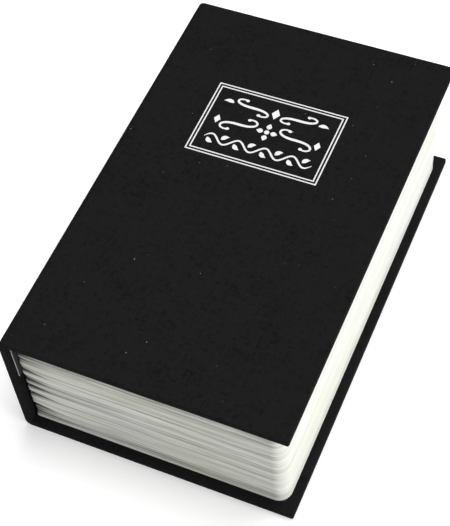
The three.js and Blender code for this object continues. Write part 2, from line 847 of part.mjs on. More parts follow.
// The lid turns about the hinge line, and carries the lock
const lidGroup = new THREE.Group();
lidGroup.position.set(hingeX, 0, hingeZ);
lidGroup.add(
  piece('box_lid', lidPanel(), paintedFinish),
  piece('lid_hinge_leaf', lidHingeLeaf(), zincFinish),
  piece('lock_body', lockBody(), chromeFinish),
  piece('lock_nut', lockNut(), zincFinish),
);
bookSafe.add(lidGroup);

const lockGroup = new THREE.Group();
lockGroup.position.set(lockAxis, 0, -hingeZ);
lockGroup.add(
  piece('lock_plug', lockPlug(), chromeFinish),
  piece('lock_stop_washer', lockStopWasher(), zincFinish),
  piece('lock_cam', lockCam(), zincFinish),
  piece('lock_cam_screw', lockCamScrew(), zincFinish),
);
lidGroup.add(lockGroup);

export default bookSafe;
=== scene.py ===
import json
import math
import random

import bmesh
import bpy
from mathutils import Matrix, Vector, noise


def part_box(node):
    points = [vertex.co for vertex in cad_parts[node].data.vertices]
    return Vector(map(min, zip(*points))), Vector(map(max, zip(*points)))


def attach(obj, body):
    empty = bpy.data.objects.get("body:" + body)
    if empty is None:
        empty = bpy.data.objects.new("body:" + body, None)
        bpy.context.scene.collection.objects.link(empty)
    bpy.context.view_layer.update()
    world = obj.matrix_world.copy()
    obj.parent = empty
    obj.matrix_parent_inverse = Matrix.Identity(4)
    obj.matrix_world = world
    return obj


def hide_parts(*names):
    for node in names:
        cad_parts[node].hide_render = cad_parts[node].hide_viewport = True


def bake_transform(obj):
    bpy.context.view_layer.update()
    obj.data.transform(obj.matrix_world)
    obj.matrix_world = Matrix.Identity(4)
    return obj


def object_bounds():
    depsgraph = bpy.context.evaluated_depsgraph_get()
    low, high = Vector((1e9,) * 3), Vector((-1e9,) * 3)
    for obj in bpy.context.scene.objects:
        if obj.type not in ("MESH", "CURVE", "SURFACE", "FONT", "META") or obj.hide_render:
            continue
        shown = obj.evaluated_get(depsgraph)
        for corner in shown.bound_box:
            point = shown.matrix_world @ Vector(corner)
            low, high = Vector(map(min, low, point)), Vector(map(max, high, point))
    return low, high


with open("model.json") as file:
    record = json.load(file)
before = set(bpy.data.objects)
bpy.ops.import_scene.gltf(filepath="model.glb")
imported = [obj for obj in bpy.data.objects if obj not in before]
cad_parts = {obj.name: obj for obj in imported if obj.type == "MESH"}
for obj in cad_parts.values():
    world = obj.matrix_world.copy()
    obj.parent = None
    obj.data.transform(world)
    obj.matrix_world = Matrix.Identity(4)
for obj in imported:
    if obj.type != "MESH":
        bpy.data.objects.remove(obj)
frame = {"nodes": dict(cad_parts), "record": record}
cad_box = [list(corner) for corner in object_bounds()]
nodes = frame["nodes"]
mm = 0.001

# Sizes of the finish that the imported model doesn't give
cloth_thickness = 0.35 * mm
board_thickness = 2.1 * mm
cover_thickness = board_thickness + 2 * cloth_thickness
turn_in_width = 12 * mm
fold_radius = 3 * mm
edge_radius = 0.5 * mm
corner_radius = 0.75 * mm
mitre_corner_radius = 0.15 * mm
mitre_crease_width = 0.4 * mm
mitre_crease_depth = 0.12 * mm
station_pitch = 3 * mm
joint_pitch = 0.2 * mm
fold_rows = 8
corner_rows = 4
cloth_wave = 0.05 * mm
cloth_waves_per_metre = 22
paper_thickness = 0.2 * mm

book_low, book_high = (Vector(corner) for corner in cad_box)
joint_low, joint_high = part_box("joint_cloth")


# Materials: a short way to add and link shader nodes
class Finish:
    def __init__(self, name, **values):
        self.material = bpy.data.materials.new(name)
        self.material.use_nodes = True
        self.tree = self.material.node_tree
        self.surface = self.tree.nodes["Principled BSDF"]
        self.coat(**values)

    def coat(self, **values):
        self.put(self.surface, **values)

    def join(self, socket, value):
        """Sets a socket to a value, or links another node's output to it."""
        if isinstance(value, bpy.types.NodeSocket):
            self.tree.links.new(value, socket)
        else:
            socket.default_value = value

    def put(self, node, **values):
        for key, value in values.items():
            self.join(node.inputs[key.replace("_", " ")], value)

    def add(self, kind, settings=None, **values):
        node = self.tree.nodes.new("ShaderNode" + kind)
        for key, value in (settings or {}).items():
            setattr(node, key, value)
        self.put(node, **values)
        return node

    def given(self, node, *values):
        """The first output of a node that is given its inputs in order."""
        for socket, value in zip(node.inputs, values):
            self.join(socket, value)
        return node.outputs[0]

    def math(self, operation, a, b=0.0):
        return self.given(self.add("Math", {"operation": operation}), a, b)

    def product(self, first, *others):
        for other in others:
            first = self.math("MULTIPLY", first, other)
        return first

    def place(self, scale=(1, 1, 1)):
        """The piece's own coordinates in metres, times a scale along each axis."""
        return self.scaled(self.add("TexCoord").outputs["Object"], scale)

    def scaled(self, vector, scale):
        return self.given(self.add("VectorMath", {"operation": "MULTIPLY"}), vector, scale)

    def noise(self, vector, scale=1.0, detail=2.0, roughness=0.5):
        node = self.add("TexNoise", Vector=vector, Scale=scale, Detail=detail, Roughness=roughness)
        return node.outputs["Fac"]

    def span(self, value, source, target):
        """A value taken from one range to another, and kept inside it."""
        return self.given(self.add("MapRange", {"clamp": True}), value, *source, *target)

    def between(self, share, first, second):
        """A colour between two, where each may be a colour or a socket."""
        node = self.add("Mix", {"data_type": "RGBA"})
        for socket, value in zip((node.inputs[0], node.inputs[6], node.inputs[7]), (share, first, second)):
            self.join(socket, value)
        return node.outputs[2]

    def bump(self, height, distance, strength):
        node = self.add("Bump", Height=height, Distance=distance, Strength=strength)
        self.coat(Normal=node.outputs[0])


def grey(value, warm=0.0):
    return (value * (1 + warm), value, value * (1 - warm), 1)


# Book cloth: over-and-under threads, a slub here and there, dull patches, a few pale specks, and painted
# shade between the threads
def book_cloth():
    finish = Finish("book_cloth", Roughness=0.88, Specular_IOR_Level=0.02)
    threads_per_metre = 2300
    thread_drift = 0.4 * mm
    slubs_across, slubs_along = 1900, 60
    sheet = finish.add("UVMap", {"uv_map": "Threads"}).outputs["UV"]
    drift = finish.add("TexNoise", Vector=sheet, Scale=220.0, Detail=1.0).outputs["Color"]
    drifted = finish.scaled(drift, (thread_drift, thread_drift, 0))
    moved = finish.given(finish.add("VectorMath", {"operation": "ADD"}), sheet, drifted)
    threads = finish.scaled(moved, (threads_per_metre, threads_per_metre, 0))
    axes = finish.add("SeparateXYZ", Vector=threads)
    across, along = axes.outputs["X"], axes.outputs["Y"]
    warp = finish.math("ABSOLUTE", finish.math("SINE", finish.math("MULTIPLY", across, math.pi)))
    weft = finish.math("ABSOLUTE", finish.math("SINE", finish.math("MULTIPLY", along, math.pi)))
    cell = finish.math("ADD", finish.math("FLOOR", across), finish.math("FLOOR", along))
    over = finish.math("MODULO", finish.math("ABSOLUTE", cell), 2.0)
    under = finish.math("SUBTRACT", 1.0, over)
    height = finish.math("ADD", finish.product(warp, over), finish.product(weft, under))
    warp_slub = finish.noise(finish.scaled(sheet, (slubs_across, slubs_along, 0)))
    weft_slub = finish.noise(finish.scaled(sheet, (slubs_along, slubs_across, 0)))
    slub = finish.math("MAXIMUM", warp_slub, weft_slub)
    patch = finish.noise(finish.place(), scale=90, detail=5, roughness=0.6)
    grain = finish.noise(finish.place(), scale=520, detail=3, roughness=0.65)
    # Painted shade in the weave: the threads' tops are lighter and the hollows between them darker. The
    # patches, slubs and grain are the cloth's own tone.
    shade = finish.product(
        finish.span(patch, (0.3, 0.7), (0.82, 1.18)), finish.span(slub, (0.45, 0.8), (0.85, 1.5)),
        finish.span(grain, (0.3, 0.7), (0.62, 1.38)), finish.span(height, (0, 1), (0.8, 1.12)),
    )
    thread = finish.between(shade, grey(0.0), grey(0.012))
    speck = finish.noise(finish.place(), scale=640, detail=1)
    lint = finish.span(speck, (0.805, 0.83), (0, 0.7))
    finish.coat(Base_Color=finish.between(lint, thread, grey(0.3)))
    relief = finish.math("ADD", height, finish.math("MULTIPLY", slub, 1.2))
    finish.bump(relief, 0.09 * mm, 0.7)
    return finish.material


# Page block moulding: grey-cream plastic with fine lines and streaks along it, as page edges have, painted
# shade in its hollows and painted light on its fore edge
def page_moulding():
    finish = Finish("page_moulding", Specular_IOR_Level=0.35)
    line = finish.noise(finish.place((28, 28, 950)), detail=3, roughness=0.6)
    hair = finish.noise(finish.place((45, 45, 3600)))
    band = finish.noise(finish.place((14, 14, 420)))
    streak = finish.noise(finish.place((18, 18, 640)), roughness=0.6)
    lines = finish.product(
        finish.span(line, (0.3, 0.7), (0.8, 1.11)), finish.span(band, (0.3, 0.7), (0.87, 1.05)),
        finish.span(hair, (0.35, 0.65), (0.86, 1.1)), finish.span(streak, (0.33, 0.42), (0.72, 1)),
    )
    # Painted light: the lines are fainter and the colour paler on the fore edge, whose normal is along +X,
    # as though it were lit more strongly
    facing = finish.add("SeparateXYZ", Vector=finish.add("TexCoord").outputs["Normal"]).outputs["X"]
    painted_fore_light = finish.span(facing, (0.2, 0.8), (0, 0.6))
    fore_lit_lines = finish.math("ADD", lines, finish.product(finish.math("SUBTRACT", 1.0, lines), painted_fore_light))
    # Painted shade: the colour darkens with how far the wall is drawn in, as light is lost in its hollows
    painted_shade_power = 3.5
    recess_share = finish.add("Attribute", {"attribute_name": "Recess"}).outputs["Fac"]
    painted_hollow_shade = finish.math("POWER", finish.math("SUBTRACT", 1.0, recess_share), painted_shade_power)
    patch = finish.noise(finish.place((30, 30, 90)))
    cool, warm = (0.77, 0.78, 0.735, 1), (0.76, 0.77, 0.67, 1)
    pale = finish.between(finish.span(patch, (0.4, 0.66), (0, 1)), cool, warm)
    shade = finish.product(fore_lit_lines, painted_hollow_shade)
    colour = finish.add("VectorMath", {"operation": "SCALE"}, Vector=pale, Scale=shade)
    finish.coat(Base_Color=colour.outputs[0], Roughness=finish.span(band, (0.3, 0.7), (0.42, 0.58)))
    finish.bump(line, 0.12 * mm, 0.45)
    return finish.material


# Black paper with short fibres
def endpaper():
    finish = Finish("endpaper", Roughness=0.9, Specular_IOR_Level=0.25)
    fibre = finish.noise(finish.place(), scale=2600, detail=4, roughness=0.7)
    cloud = finish.noise(finish.place(), scale=60, detail=3)
    shade = finish.product(
        finish.span(fibre, (0.3, 0.7), (0.7, 1.3)), finish.span(cloud, (0.3, 0.7), (0.85, 1.15)),
    )
    finish.coat(Base_Color=finish.between(shade, grey(0.0), grey(0.02)))
    finish.bump(fibre, 0.04 * mm, 0.5)
    return finish.material


# The cut edge of the endpaper strip, where its light core shows
def paper_core():
    finish = Finish("paper_core", Roughness=0.85, Specular_IOR_Level=0.3)
    fibre = finish.noise(finish.place(), scale=3500, detail=3)
    finish.coat(Base_Color=finish.between(fibre, grey(0.45, 0.01), grey(0.75, 0.01)))
    finish.bump(fibre, 0.05 * mm, 0.5)
    return finish.material


# Grey board of the covers, hidden inside the cloth
def board():
    finish = Finish("board", Roughness=0.95, Specular_IOR_Level=0.2)
    fibre = finish.noise(finish.place((1, 1, 3)), scale=1500, detail=4, roughness=0.7)
    dark, light = (0.2, 0.18, 0.155, 1), (0.42, 0.38, 0.33, 1)
    finish.coat(Base_Color=finish.between(fibre, dark, light))
    finish.bump(fibre, 0.1 * mm, 0.5)
    return finish.material


# Powder coat: black with a fine orange-peel grain
def painted_steel():
    finish = Finish("painted_steel", Specular_IOR_Level=0.5)
    peel = finish.noise(finish.place(), scale=1500)
    worn = finish.noise(finish.place(), scale=40, detail=4, roughness=0.6)
    finish.coat(Base_Color=finish.between(worn, grey(0.026), grey(0.04)))
    finish.coat(Roughness=finish.span(worn, (0.3, 0.7), (0.36, 0.5)))
    finish.bump(peel, 0.06 * mm, 0.6)
    return finish.material


# Zinc plate: dull silver with a faint crystal bloom and rolled streaks
def zinc_steel():
    finish = Finish("zinc_steel", Metallic=1.0)
    streak = finish.noise(finish.place((40, 2200, 2200)))
    bloom = finish.noise(finish.place(), scale=260, detail=4, roughness=0.6)
    blue, cream = (0.50, 0.51, 0.53, 1), (0.68, 0.67, 0.64, 1)
    finish.coat(Base_Color=finish.between(bloom, blue, cream))
    finish.coat(Roughness=finish.span(bloom, (0.3, 0.7), (0.28, 0.44)))
    finish.bump(streak, 0.03 * mm, 0.4)
    return finish.material


# Bright nickel plate of the lock's face
def lock_chrome():
    finish = Finish("lock_chrome", Metallic=1.0)
    smear = finish.noise(finish.place(), scale=180, detail=4, roughness=0.6)
    scratch = finish.noise(finish.place((300, 9000, 300)), detail=1)
    cool, warm = (0.74, 0.74, 0.75, 1), (0.82, 0.81, 0.79, 1)
    finish.coat(Base_Color=finish.between(smear, cool, warm))
    finish.coat(Roughness=finish.span(smear, (0.35, 0.7), (0.1, 0.24)))
    finish.bump(scratch, 0.01 * mm, 0.3)
    return finish.material


# Black felt of the box's liner
def liner():
    finish = Finish("liner", Roughness=1.0, Specular_IOR_Level=0.1, Sheen_Weight=0.25, Sheen_Roughness=0.5)
    fuzz = finish.noise(finish.place(), scale=3200, detail=4, roughness=0.75)
    cloud = finish.noise(finish.place(), scale=120, detail=3)
    shade = finish.product(
        finish.span(fuzz, (0.25, 0.75), (0.4, 1.6)), finish.span(cloud, (0.3, 0.7), (0.8, 1.2)),
    )
    finish.coat(Base_Color=finish.between(shade, grey(0.0), grey(0.022)))
    finish.bump(fuzz, 0.4 * mm, 0.8)
    return finish.material


# White stamped foil, a little broken where it lies over the threads
def foil():
    finish = Finish("foil", Roughness=0.38, Specular_IOR_Level=0.5)
    thin = finish.noise(finish.place(), scale=2400)
    broken = finish.span(thin, (0.58, 0.72), (0, 1))
    finish.coat(Base_Color=finish.between(broken, grey(0.80), grey(0.34)))
    finish.bump(thin, 0.04 * mm, 0.4)
    return finish.material


finishes = {
    "book_cloth": book_cloth(),
    "board": board(),
    "endpaper": endpaper(),
    "page_moulding": page_moulding(),
    "painted_steel": painted_steel(),
    "zinc_steel": zinc_steel(),
    "lock_chrome": lock_chrome(),
    "liner": liner(),
    "foil": foil(),
    "paper_core": paper_core(),
}

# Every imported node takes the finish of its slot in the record
for part in frame["record"]["subparts"]:
    node = nodes[part["node"]]
    node.data.materials.clear()
    node.data.materials.append(finishes[part["material_slot"]])


# Meshes: a named object from points and faces, with thread coordinates in metres
def thread_map(mesh):
    layer = mesh.uv_layers.new(name="Threads")
    for face in mesh.polygons:
        size = [abs(c) for c in face.normal]
        flat = [axis for axis in range(3) if axis != size.index(max(size))]
        for corner in face.loop_indices:
            point = mesh.vertices[mesh.loops[corner].vertex_index].co
            layer.data[corner].uv = (point[flat[0]], point[flat[1]])


def smoothed(mesh, angle):
    mesh.shade_smooth()
    mesh.set_sharp_from_angle(angle=math.radians(angle))


def shown(name, mesh):
    piece = bpy.data.objects.new(name, mesh)
    bpy.context.scene.collection.objects.link(piece)
    return piece


def made(name, points, faces, finish, smooth_angle=40):
    mesh = bpy.data.meshes.new(name)
    mesh.from_pydata([tuple(p) for p in points], [], faces)
    work = bmesh.new()
    work.from_mesh(mesh)
    bmesh.ops.recalc_face_normals(work, faces=work.faces)
    work.to_mesh(mesh)
    work.free()
    smoothed(mesh, smooth_angle)
    thread_map(mesh)
    mesh.materials.append(finishes[finish])
    return shown(name, mesh)


def combined(piece, operation, points, faces):
    """The piece joined with or cut by a closed tool."""
    tool = made("tool", points, faces, "board")
    modifier = piece.modifiers.new(operation, "BOOLEAN")
    modifier.operation = operation
    modifier.solver = "MANIFOLD"
    modifier.object = tool
    graph = bpy.context.evaluated_depsgraph_get()
    mesh = bpy.data.meshes.new_from_object(piece.evaluated_get(graph))
    piece.modifiers.clear()
    piece.data = mesh
    bpy.data.objects.remove(tool)


def second_finish(piece, finish, chosen):
    """Another finish on the faces that chosen picks by their normal."""
    piece.data.materials.append(finishes[finish])
    for face in piece.data.polygons:
        if chosen(face.normal):
            face.material_index = 1


def placed(piece, body, slot, *replaced):
    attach(piece, body)
    if replaced:
        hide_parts(*replaced)


def stations(start, end, pitch):
    """Evenly spaced places from start to end, both included."""
    count = max(1, math.ceil(abs(end - start) / pitch))
    return [start + (end - start) * i / count for i in range(count + 1)]


def grid_faces(columns, rows):
    """Faces between points that are listed column by column."""
    corners = [i * rows + j for i in range(columns - 1) for j in range(rows - 1)]
    return [(k, k + rows, k + rows + 1, k + 1) for k in corners]


# The covering: one sheet, drawn flat along the section of the case and then folded round it. Its
# length runs from the fore edge of the back cover round the spine to that of the front cover.
panel_length = (book_high.x - book_low.x) - fold_radius
fold_length = fold_radius * math.pi / 2
spine_length = (book_high.z - book_low.z) - 2 * fold_radius
first_fold = panel_length
spine_start = first_fold + fold_length
second_fold = spine_start + spine_length
front_start = second_fold + fold_length
sheet_length = front_start + panel_length


def folded(along, y, depth):
    """The point of the case at a length along the sheet, a place y and a depth below its outer face."""
    reach = fold_radius - depth
    fold_x = book_low.x + fold_radius
    low_z, high_z = book_low.z + fold_radius, book_high.z - fold_radius
    if along <= first_fold:
        return Vector((book_high.x - along, y, book_low.z + depth))
    if along < spine_start:
        angle = (along - first_fold) / fold_radius
        return Vector((fold_x - reach * math.sin(angle), y, low_z - reach * math.cos(angle)))
    if along <= second_fold:
        return Vector((book_low.x + depth, y, low_z + along - spine_start))
    if along < front_start:
        angle = (along - second_fold) / fold_radius
        return Vector((fold_x - reach * math.cos(angle), y, high_z + reach * math.sin(angle)))
    return Vector((fold_x + along - front_start, y, book_high.z - depth))


def wrap_levels():
    """The way round a board's edge, over it, down it and in under it. Each level has its inset and
    depth on the outer face of the cloth, and the direction of both towards the board."""
    steps = 5
    flap_start, flap_pitch = 2 * mm, 2.5 * mm
    over, under = [], []
    for i in range(steps + 1):
        turn = math.pi / 2 * i / steps
        sine, cosine = math.sin(turn), math.cos(turn)
        over.append((edge_radius * (1 - sine), edge_radius * (1 - cosine), sine, cosine))
        under.append((edge_radius * (1 - cosine), cover_thickness - edge_radius * (1 - sine), cosine, -sine))
    flap = [(inset, cover_thickness, 0, -1) for inset in stations(flap_start, turn_in_width, flap_pitch)]
    return over[1:] + under + flap


def clustered(values, edge):
    """Places with a few more close to a corner at edge, so that the corner can be rounded."""
    direction = 1 if values[-1] > values[0] else -1
    round_part = corner_radius - edge_radius
    insets = [edge_radius + round_part * i / corner_rows for i in reversed(range(corner_rows + 1))]
    corner = [edge - direction * inset for inset in insets]
    least_gap = station_pitch / 4
    return [v for v in values if direction * (corner[0] - v) > least_gap] + corner


def sheet_stations(start, end, fore_edge):
    """Lengths along the sheet where it has a row of points, ending at the fore edge if it has one."""
    if fore_edge is None:
        return stations(start, end, joint_pitch)
    other = end if fore_edge == start else start
    along = stations(other, fore_edge, station_pitch)
    least_gap = mm
    for fold in (first_fold, second_fold):
        if min(start, end) < fold < max(start, end) - fold_length:
            along = [a for a in along if not fold - least_gap < a < fold + fold_length + least_gap]
            along += stations(fold, fold + fold_length, fold_length / fold_rows)
    along.sort(reverse=other > fore_edge)
    return clustered(along, fore_edge)


def wrapped_sheet(name, start, end, fore_edge=None):
    """The covering between two lengths along the sheet, turned in at head and tail, and at the fore
    edge where fore_edge is one of the two lengths."""
    half = book_high.y
    sign = 1 if fore_edge is None or fore_edge > start else -1
    upper = clustered(stations(0, half, station_pitch), half)
    ys = [-y for y in reversed(upper)][:-1] + upper
    along = sheet_stations(start, end, fore_edge)
    columns, rows = len(along), len(ys)
    plan = [(a, y, None) for a in along for y in ys]
    faces = grid_faces(columns, rows)
    tail = [i * rows for i in range(columns)]
    head = [i * rows + rows - 1 for i in reversed(range(columns))]
    fore = [(columns - 1) * rows + j for j in range(1, rows - 1)]
    for path in ([tail, head] if fore_edge is None else [tail + fore + head]):
        previous = path
        for level in wrap_levels():
            ring = list(range(len(plan), len(plan) + len(path)))
            plan += [(*plan[k][:2], level) for k in path]
            faces += [
                (previous[i], previous[i + 1], ring[i + 1], ring[i]) for i in range(len(path) - 1)
            ]
            previous = ring
    layers = [
        [sheet_point(entry, below, fore_edge, sign, half) for entry in plan]
        for below in (0, cloth_thickness)
    ]
    return made(name, *closed_sheet(layers, faces), "book_cloth", smooth_angle=80)


def unit_noise(place):
    """Noise between 0 and 1."""
    return 0.5 + 0.5 * noise.noise(place)


def sheet_point(entry, below, fore_edge, sign, half):
    """A point of the sheet, at a depth below its outer face."""
    a, y, level = entry
    depth = below
    if level:
        inset, level_depth, inward, downward = level
        depth = level_depth + below * downward
        a, y = pushed_out(a, y, inset + below * inward, fore_edge, sign, half)
        if fore_edge is not None and inset > 2 * edge_radius:
            from_mitre = abs(abs(fore_edge - a) - (half - abs(y)))
            depth -= mitre_crease_depth * max(0, 1 - from_mitre / mitre_crease_width)
    if fore_edge is not None:
        a, y = rounded_corner(a, y, fore_edge, sign, half)
    if level is None:
        depth += cloth_wave * unit_noise(Vector((a, y, 0.3)) * cloth_waves_per_metre)
    return folded(a, y, depth)


def closed_sheet(layers, faces):
    """One solid between two layers of points that share their faces."""
    count = len(layers[0])
    uses = {}
    for face in faces:
        for i, k in enumerate(face):
            edge = (k, face[(i + 1) % len(face)])
            uses[tuple(sorted(edge))] = None if tuple(sorted(edge)) in uses else edge
    rim = [(b, a, a + count, b + count) for a, b in filter(None, uses.values())]
    inner = [tuple(k + count for k in reversed(face)) for face in faces]
    return layers[0] + layers[1], faces + inner + rim


def drawn_in(distance, inset):
    """A distance along the rim from a corner, moved as the mitre there needs at an inset."""
    reach = 2 * turn_in_width
    mitre = inset + max(corner_radius - inset, mitre_corner_radius)
    share = max(0, reach - distance) / (reach - corner_radius)
    return distance + (mitre - corner_radius) * share


def pushed_out(a, y, inset, fore_edge, sign, half):
    """A point of the sheet's rim moved to another inset from the edges of the board."""
    side = 1 if y > 0 else -1
    step = edge_radius - inset
    from_end = half - abs(y)
    from_fore = math.inf if fore_edge is None else abs(fore_edge - a)
    nearly = corner_radius * 1.001
    if from_end < nearly and from_fore < nearly:
        radius = max(corner_radius - inset, mitre_corner_radius)
        scale = radius / (corner_radius - edge_radius)
        centre = inset + radius
        return (
            fore_edge - sign * (centre - (corner_radius - from_fore) * scale),
            side * (half - centre + (corner_radius - from_end) * scale),
        )
    if fore_edge is None:
        return a, y + side * step
    if from_end <= from_fore:
        return fore_edge - sign * drawn_in(from_fore, inset), y + side * step
    return a + sign * step, side * (half - drawn_in(from_end, inset))


def rounded_corner(a, y, fore_edge, sign, half):
    """A square corner of the sheet drawn in to a round one."""
    from_end, from_fore = half - abs(y), abs(fore_edge - a)
    inset = min(from_end, from_fore)
    radius = max(corner_radius - inset, mitre_corner_radius)
    centre = inset + radius
    u, v = centre - from_fore, centre - from_end
    if u <= 0 or v <= 0:
        return a, y
    scale = max(u, v) / math.hypot(u, v)
    side = 1 if y > 0 else -1
    return fore_edge - sign * (centre - u * scale), side * (half - centre + v * scale)


joint_start = spine_start + (joint_low.z - book_low.z - fold_radius)
joint_end = front_start + (joint_high.x - book_low.x - fold_radius)

case_cloth = wrapped_sheet("case_covering", joint_start, 0.0, fore_edge=0.0)
placed(case_cloth, "case", "book_cloth", "case_cloth")

front_cloth = wrapped_sheet("front_covering", joint_end, sheet_length, fore_edge=sheet_length)
placed(front_cloth, "front_cover", "book_cloth", "front_cloth")

joint_cloth = wrapped_sheet("joint_covering", joint_start, joint_end)
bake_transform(joint_cloth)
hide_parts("joint_cloth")


# The page block: one moulding, whose wall has ledges and fine lines as page edges do. The ledges
# deepen into notches at the spine.
block_low, block_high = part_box("page_block")
block_height = block_high.z - block_low.z
block_fore_radius = 5.5 * mm
block_spine_radius = 1.2 * mm
block_wall = 2.4 * mm
block_floor = 1.6 * mm
block_edge_radius = 0.5 * mm
level_pitch = 0.27 * mm
wall_pitch = 3.5 * mm
notch_pitch = 0.8 * mm
notch_taper = 13 * mm
ledge_depth = 0.4 * mm
notch_depth = 1.3 * mm
ledge_lip = 0.75 * mm
ledge_run = 2.3 * mm
notch_run = 4.4 * mm
ledge_curve = 1.6
notch_curve = 1.5
line_half_width = 0.28 * mm
line_depth = 0.18 * mm
rib_wave = 0.1 * mm
rib_waves_along, rib_waves_up = 5, 330
fore_smoothness = 0.75
deepest_recess = 2.1 * mm

# How ledges and lines drift up and down and fade along the wall, by so many waves a metre
ledge_wander = 0.55 * mm
ledge_waves, ledge_fade_waves = 22, 34
line_waves, line_fade_waves = 18, 45
ledge_strength, ledge_swing = 0.7, 0.6
line_strength = 0.5
fade_row = 0.4
first_line_row = 50

# Each ledge: its share of the block's height, of the ledge's depth and of the notch's depth
ledge_shares = [
    (0.035, 0.7, 0.3), (0.065, 1.0, 0.4), (0.095, 0.8, 0.5), (0.139, 0.9, 0.9), (0.22, 0.5, 0.1),
    (0.311, 0.8, 1.0), (0.345, 0.5, 0.1), (0.41, 0.9, 1.0), (0.45, 0.4, 0.1), (0.492, 0.9, 1.0),
    (0.537, 0.6, 0.4), (0.623, 1.0, 0.9), (0.668, 0.6, 0.15), (0.745, 0.6, 0.2), (0.772, 1.2, 0.45),
    (0.797, 0.6, 0.1), (0.825, 1.5, 0.4), (0.858, 0.9, 0.15), (0.9, 0.8, 0.2), (0.945, 1.0, 0.3),
]


# Where the fine lines are: the shares of the height between which they lie, how many there are and
# their share of a line's depth
line_bands = [(0.015, 0.12, 6, 1.9), (0.13, 0.75, 18, 1.1), (0.76, 0.985, 10, 2.0)]
line_seed = 11


def fine_lines():
    """Height and depth of each fine line: bunched and deep near the head and foot of the wall."""
    chosen = random.Random(line_seed)
    lines = []
    for low, high, count, depth_share in line_bands:
        heights = [chosen.uniform(low, high) * block_height for _ in range(count)]
        lines += [(height, depth_share * line_depth) for height in sorted(heights)]
    return lines


block_lines = fine_lines()


def block_outline():
    """Points round the block at its full width, each with its outward direction and how much of a
    notch it has. Walls are straight, and the corners are quarter turns."""
    rounds = [
        (block_low.x, -1, block_spine_radius, 180), (block_high.x, -1, block_fore_radius, 270),
        (block_high.x, 1, block_fore_radius, 0), (block_low.x, 1, block_spine_radius, 90),
    ]
    corner_steps = 9
    arcs = []
    for edge_x, side, radius, start in rounds:
        centre = Vector((edge_x + math.copysign(radius, -edge_x), side * (block_high.y - radius), 0))
        turns = [math.radians(start + 90 * i / corner_steps) for i in range(corner_steps + 1)]
        arcs.append([(centre + radius * Vector((math.cos(t), math.sin(t), 0)), t) for t in turns])
    outline = []
    for arc, following in zip(arcs, arcs[1:] + arcs[:1]):
        outline += arc
        (start, turn), (end, _) = arc[-1], following[0]
        length = (end - start).length
        fine = stations(0, notch_taper, notch_pitch)
        at_an_end = abs(start.y - end.y) < mm
        from_start = fine if at_an_end and start.x < 0 else []
        from_end = [length - d for d in fine] if at_an_end and end.x < 0 else []
        close = from_start + from_end
        places = sorted(close + [d for d in stations(0, length, wall_pitch) if clear_of(d, close)])
        outline += [(start.lerp(end, d / length), turn) for d in places if 0 < d < length]
    return [
        (point, Vector((math.cos(turn), math.sin(turn), 0)), notch_share(point)) for point, turn in outline
    ]


def clear_of(place, others):
    """Whether a place is outside a stretch of closer ones, and not right beside it."""
    if not others:
        return True
    nearest = min(abs(place - other) for other in others)
    return nearest > wall_pitch / 3 and not min(others) <= place <= max(others)


def notch_share(point):
    """How much of a notch the wall has: all of it at the spine, and none past the taper."""
    run = (point.x - block_low.x - block_spine_radius) / notch_taper
    return max(0, min(1, 1 - run)) ** notch_curve


def column_depths(outward, notch, along):
    """How far one upright line of the wall is drawn in, at each level above the foot."""
    relief = 1 - fore_smoothness * min(1, max(0, 2 * outward.x))
    ledges = []
    for number, (share, depth_share, notch_part) in enumerate(ledge_shares):
        shift = ledge_wander * wander(along, number, ledge_waves)
        fade = ledge_strength + ledge_swing * wander(along, number + fade_row, ledge_fade_waves)
        deep = depth_share * ledge_depth * fade * relief + notch_part * notch_depth * notch
        run = ledge_run + (notch_run - ledge_run) * notch
        ledges.append((share * block_height + shift, deep, run))
    lines = []
    for number, (height, deep) in enumerate(block_lines, first_line_row):
        shift = ledge_wander * wander(along, number, line_waves)
        fade = max(0, line_strength + wander(along, number + fade_row, line_fade_waves))
        lines.append((height + shift, deep * fade * relief))
    depths = []
    for level in block_levels:
        depth = max(ledge_fall(level - height, deep, run) for height, deep, run in ledges)
        depth += sum(deep * max(0, 1 - abs(level - height) / line_half_width) for height, deep in lines)
        wave = unit_noise(Vector((along * rib_waves_along, level * rib_waves_up, 40.5)))
        depths.append(depth + rib_wave * wave)
    return depths


def wander(along, row, waves):
    """A drift along the wall, its own for each row of the noise, of about this many waves a metre, with
    a smaller and quicker one on it."""
    quicker, smaller = 3.6, 0.45
    slow = noise.noise(Vector((along * waves, row * 3.7, 0.5)))
    quick = noise.noise(Vector((along * waves * quicker, row * 5.1, 7.5)))
    return slow + smaller * quick


def ledge_fall(above, deep, run):
    """The wall's depth above a ledge: it leans in along a run, and comes out again at the ledge."""
    if not 0 <= above < run:
        return 0
    return deep * min(above / ledge_lip, (1 - (above - ledge_lip) / (run - ledge_lip)) ** ledge_curve)


# Levels of the wall: its foot and head are rounded, so they lie closer there
edge_steps = 4
edge_turns = [math.pi / 2 * i / edge_steps for i in range(edge_steps + 1)]
foot_levels = [block_edge_radius * (1 - math.cos(turn)) for turn in edge_turns]
wall_levels = stations(block_edge_radius, block_height - block_edge_radius, level_pitch)[1:-1]
block_levels = foot_levels + wall_levels + [block_height - level for level in reversed(foot_levels)]


def edge_inset(level):
    """How far the rounded foot or head draws the wall in at a level."""
    rise = min(level, block_height - level)
    if rise >= block_edge_radius:
        return 0
    return block_edge_radius - math.sqrt(block_edge_radius ** 2 - (block_edge_radius - rise) ** 2)


